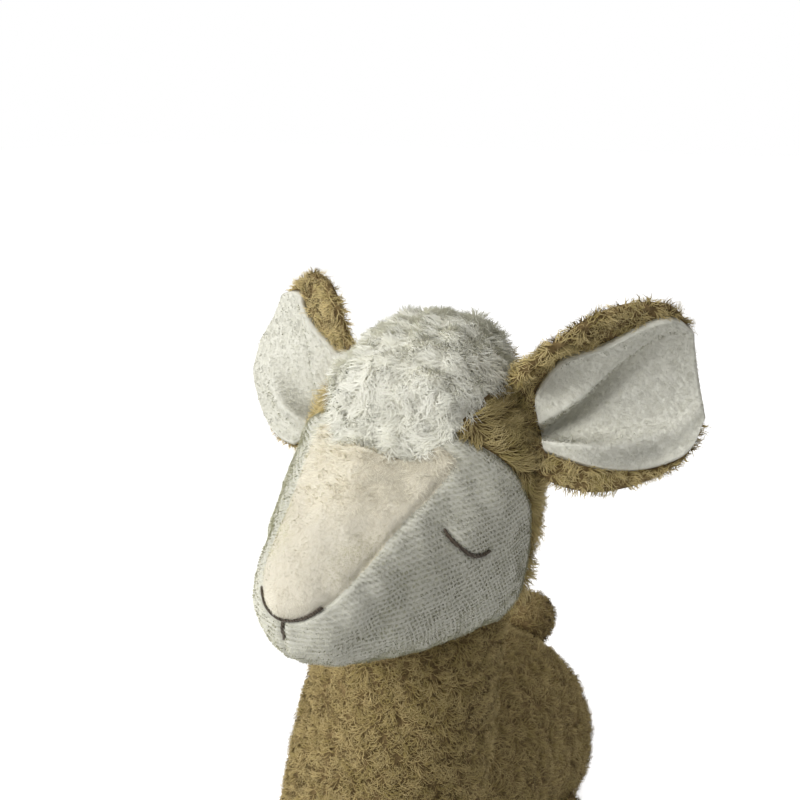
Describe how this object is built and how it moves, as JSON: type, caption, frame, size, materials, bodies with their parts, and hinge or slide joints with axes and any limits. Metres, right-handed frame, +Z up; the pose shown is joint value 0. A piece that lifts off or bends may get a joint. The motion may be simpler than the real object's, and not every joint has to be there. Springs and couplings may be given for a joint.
{
  "type": "stuffed llama heat pillow",
  "caption": "Stuffed lying llama with a long neck, white forelock, stitched sleeping face and soft ears; a pocket under the tail holds a removable heat pillow.",
  "frame": {"origin": "on the floor under the middle of the overall box", "axes": "+Z up, nose towards -Y, tail towards +Y, the llama's left side towards +X"},
  "size_m": [0.165, 0.2448, 0.2583],
  "materials": {
    "brown_plush": "curly tan plush pile, about 5 mm, on a knitted back",
    "cream_velour": "short cream velour showing its knitted courses",
    "white_long_pile": "long soft off-white pile",
    "embroidery_thread": "dark brown matt embroidery thread",
    "cotton_lining": "plain woven unbleached cotton",
    "cherry_stone_fill": "loose dry cherry stones",
    "wool_stuffing": "combed wool stuffing",
    "hook_and_loop_tape": "tan hook and loop tape"
  },
  "bodies": {
    "torso": {"left_torso_side": "brown_plush", "right_torso_side": "brown_plush", "belly_panel": "brown_plush", "torso_stuffing": "wool_stuffing", "pocket_bag": "cotton_lining", "loop_tape": "hook_and_loop_tape"},
    "neck": {"neck_skin": "brown_plush", "neck_stuffing": "wool_stuffing"},
    "head": {"left_cheek": "cream_velour", "right_cheek": "cream_velour", "nose_bridge": "cream_velour", "forelock": "white_long_pile", "head_back": "brown_plush", "head_stuffing": "wool_stuffing", "left_eye": "embroidery_thread", "right_eye": "embroidery_thread", "mouth": "embroidery_thread"},
    "left_ear": {"left_ear_back": "brown_plush", "left_ear_lining": "cream_velour"},
    "right_ear": {"right_ear_back": "brown_plush", "right_ear_lining": "cream_velour"},
    "left_front_leg": {"left_front_leg_skin": "brown_plush", "left_front_leg_stuffing": "wool_stuffing"},
    "right_front_leg": {"right_front_leg_skin": "brown_plush", "right_front_leg_stuffing": "wool_stuffing"},
    "left_hind_leg": {"left_hind_leg_skin": "brown_plush", "left_hind_leg_stuffing": "wool_stuffing"},
    "right_hind_leg": {"right_hind_leg_skin": "brown_plush", "right_hind_leg_stuffing": "wool_stuffing"},
    "tail": {"tail_skin": "brown_plush", "tail_stuffing": "wool_stuffing"},
    "flap": {"pocket_flap": "brown_plush", "hook_tape": "hook_and_loop_tape"},
    "heat_pillow": {"pillow_upper_panel": "cotton_lining", "pillow_lower_panel": "cotton_lining", "cherry_stones": "cherry_stone_fill"}
  },
  "joints": [
    {"name": "neck_bend", "type": "hinge", "parent": "torso", "child": "neck", "pos_m": [0, -0.01782, 0.0525], "axis": [1, 0, 0], "range_deg": [-8, 21], "stiffness_Nm_per_rad": 3},
    {"name": "head_nod", "type": "hinge", "parent": "neck", "child": "head", "pos_m": [0, -0.00282, 0.195], "axis": [1, 0, 0], "range_deg": [-22, 8], "stiffness_Nm_per_rad": 1.2},
    {"name": "left_ear_fold", "type": "hinge", "parent": "head", "child": "left_ear", "pos_m": [0.0295, 0.00118, 0.222], "axis": [-0.2227, -0.0945, 0.9703], "range_deg": [-25, 25], "stiffness_Nm_per_rad": 0.03},
    {"name": "right_ear_fold", "type": "hinge", "parent": "head", "child": "right_ear", "pos_m": [-0.0295, 0.00118, 0.216], "axis": [-0.4385, 0.1175, -0.891], "range_deg": [-25, 25], "stiffness_Nm_per_rad": 0.03},
    {"name": "left_front_leg_splay", "type": "hinge", "parent": "torso", "child": "left_front_leg", "pos_m": [0.024, -0.03682, 0.015], "axis": [0, 0, 1], "range_deg": [-5, 40], "stiffness_Nm_per_rad": 0.12},
    {"name": "right_front_leg_splay", "type": "hinge", "parent": "torso", "child": "right_front_leg", "pos_m": [-0.024, -0.03682, 0.015], "axis": [0, 0, -1], "range_deg": [-5, 40], "stiffness_Nm_per_rad": 0.12},
    {"name": "left_hind_leg_splay", "type": "hinge", "parent": "torso", "child": "left_hind_leg", "pos_m": [0.034, 0.05618, 0.015], "axis": [0, 0, 1], "range_deg": [-5, 40], "stiffness_Nm_per_rad": 0.12},
    {"name": "right_hind_leg_splay", "type": "hinge", "parent": "torso", "child": "right_hind_leg", "pos_m": [-0.034, 0.05618, 0.015], "axis": [0, 0, -1], "range_deg": [-5, 40], "stiffness_Nm_per_rad": 0.12},
    {"name": "tail_lift", "type": "hinge", "parent": "torso", "child": "tail", "pos_m": [0, 0.08118, 0.0685], "axis": [1, 0, 0], "range_deg": [-5, 40], "stiffness_Nm_per_rad": 0.05},
    {"name": "pillow_slide", "type": "slide", "parent": "torso", "child": "heat_pillow", "axis": [0, 1, 0], "range_m": [0, 0.068]},
    {"name": "flap_open", "type": "hinge", "parent": "torso", "child": "flap", "pos_m": [0, 0.09338, 0.0485], "axis": [1, 0, 0], "range_deg": [0, 90]}
  ],
  "couplings": [
    {"joint": "flap_open", "follows": "pillow_slide", "rad_per_m": 23.1}
  ]
}
